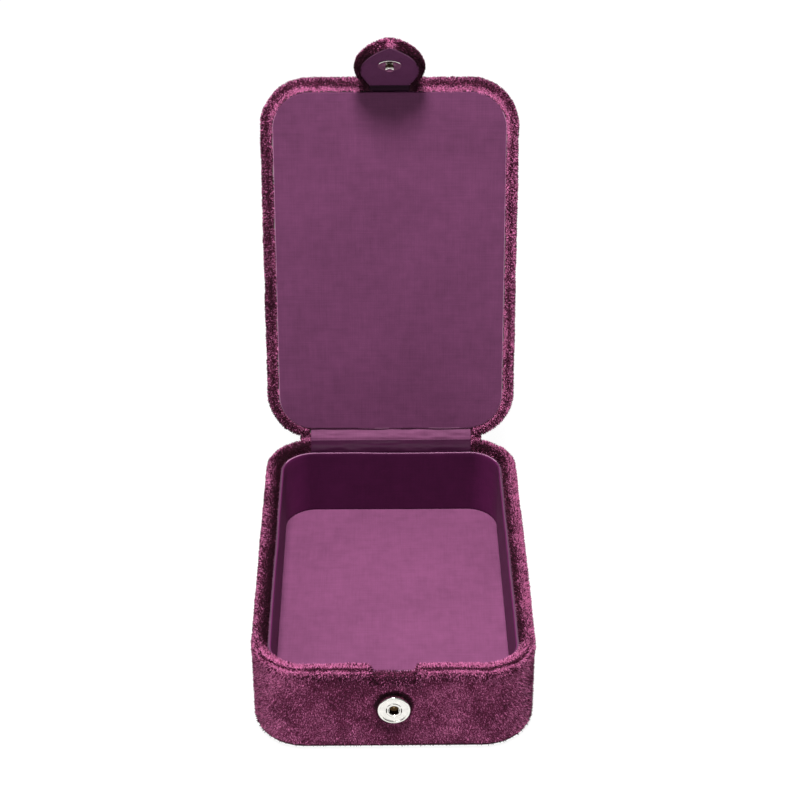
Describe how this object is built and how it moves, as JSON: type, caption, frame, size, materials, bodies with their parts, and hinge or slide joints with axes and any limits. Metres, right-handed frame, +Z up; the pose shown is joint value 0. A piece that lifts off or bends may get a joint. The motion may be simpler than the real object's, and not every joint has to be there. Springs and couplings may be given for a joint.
{
  "type": "jewelry box",
  "caption": "Low rounded box with a hinged lid, a fabric-lined tray and a tab that snaps onto the front wall.",
  "frame": {"origin": "centre of the underside, on the surface that the box stands on", "axes": "+X across the box, +Y towards the hinge, +Z up"},
  "size_m": [0.1016, 0.1899, 0.2121],
  "materials": {
    "velvet": "crushed pile, dark plum with pink sheen on the folds",
    "lining_cloth": "fine plain weave with slubs, matte with a slight lustre",
    "greyboard": "raw grey board",
    "padding": "soft wadding",
    "underside_paper": "matte textured paper",
    "plated_steel": "bright nickel plate",
    "rivet_brass": "dull brass"
  },
  "bodies": {
    "base": {"base_velvet_cover": "velvet", "base_wall_board": "greyboard", "base_bottom_board": "greyboard", "base_underside_sheet": "underside_paper", "tray_wall_card": "greyboard", "tray_wall_cloth": "lining_cloth", "tray_floor_card": "greyboard", "tray_floor_cloth": "lining_cloth", "snap_socket": "plated_steel", "socket_spring": "plated_steel", "socket_rivet": "rivet_brass", "hinge_ribbon_base_end": "lining_cloth"},
    "lid": {"lid_velvet_cover": "velvet", "lid_padding": "padding", "lid_board": "greyboard", "lid_liner_card": "greyboard", "lid_liner_cloth": "lining_cloth", "hinge_ribbon_lid_end": "lining_cloth", "tab_strap": "velvet"},
    "tab": {"tab_velvet": "velvet", "tab_core": "greyboard", "tab_liner": "lining_cloth", "snap_stud": "plated_steel", "stud_post": "plated_steel"}
  },
  "joints": [
    {"name": "lid_hinge", "type": "hinge", "parent": "base", "child": "lid", "pos_m": [0, 0.0755, 0.0374], "axis": [-1, 0, 0], "range_deg": [-100.9, 74]},
    {"name": "tab_fold", "type": "hinge", "parent": "lid", "child": "tab", "pos_m": [0, 0.09872, 0.19129], "axis": [-1, 0, 0], "range_deg": [-35, 35]}
  ]
}
